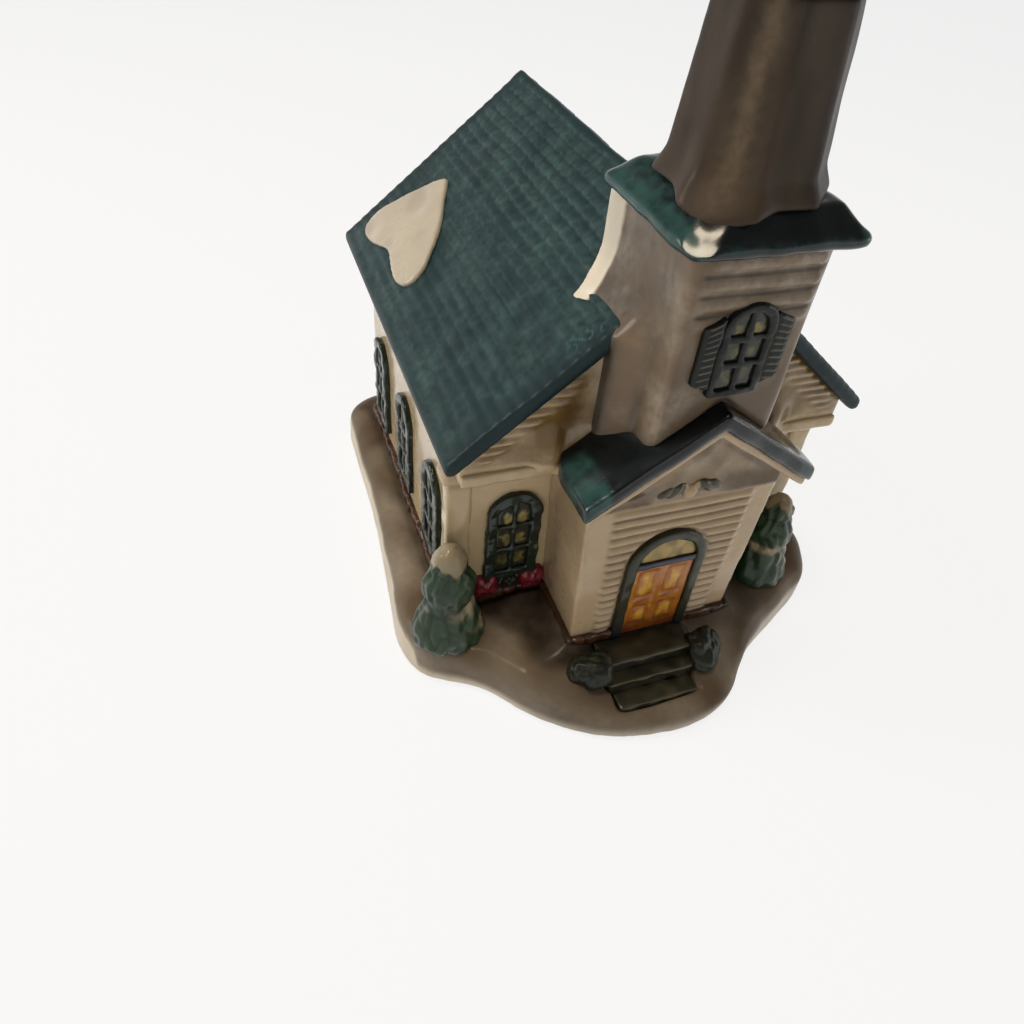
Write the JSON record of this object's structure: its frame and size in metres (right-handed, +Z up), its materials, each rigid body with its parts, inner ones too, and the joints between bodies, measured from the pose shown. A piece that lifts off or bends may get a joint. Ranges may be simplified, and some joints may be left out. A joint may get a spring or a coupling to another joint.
{
  "type": "miniature christmas church",
  "caption": "Glazed ceramic village church with a bell tower, a front porch, lit windows, garlands, small trees and a snowy base.",
  "frame": {"origin": "centre of the bounding box at the underside that rests on the table", "axes": "+Z up along the tower, the door faces -Y, +X to the right of someone facing the door"},
  "size_m": [0.0948, 0.1136, 0.1507],
  "materials": {
    "snow": "glossy clear glaze over white porcelain",
    "brown": "glossy dark brown glaze",
    "cream": "glossy clear glaze over cream underglaze colour",
    "teal": "glossy dark teal glaze",
    "green": "glossy dark green glaze",
    "amber": "glossy orange glaze with brown brush strokes",
    "navy": "glossy dark blue glaze",
    "pane": "glossy pale yellow glaze",
    "foliage": "glossy mottled green glaze",
    "red": "glossy dark red glaze",
    "slate": "glossy olive brown glaze"
  },
  "bodies": {
    "root": {"snow_base": "snow", "foundation": "brown", "nave_walls": "cream", "nave_roof": "teal", "corner_pilaster_left": "cream", "frieze_left": "cream", "corner_pilaster_right": "cream", "frieze_right": "cream", "roof_snow_heart": "snow", "porch_walls": "cream", "porch_roof": "teal", "pediment_swag": "cream", "door_frame": "green", "door_leaf": "amber", "transom_bar": "navy", "fanlight": "pane", "front_window_left_frame": "green", "front_window_left_glazing": "pane", "garland_left": "foliage", "outer_bow_left": "red", "inner_bow_left": "red", "front_window_right_frame": "green", "front_window_right_glazing": "pane", "garland_right": "foliage", "outer_bow_right": "red", "inner_bow_right": "red", "left_window_1_frame": "green", "left_window_1_glazing": "pane", "right_window_1_frame": "green", "right_window_1_glazing": "pane", "left_window_2_frame": "green", "left_window_2_glazing": "pane", "right_window_2_frame": "green", "right_window_2_glazing": "pane", "left_window_3_frame": "green", "left_window_3_glazing": "pane", "right_window_3_frame": "green", "right_window_3_glazing": "pane", "tower_shell": "cream", "tower_cornice": "teal", "tower_window_frame": "green", "tower_window_glazing": "pane", "tower_shutter_left": "green", "tower_shutter_right": "green", "belfry": "cream", "belfry_cornice": "teal", "spire": "teal", "spire_finial": "cream", "landing": "slate", "middle_step": "slate", "lowest_step": "slate", "tree_left": "foliage", "tree_right": "foliage", "hedge_left": "foliage", "hedge_right": "foliage"}
  },
  "joints": []
}
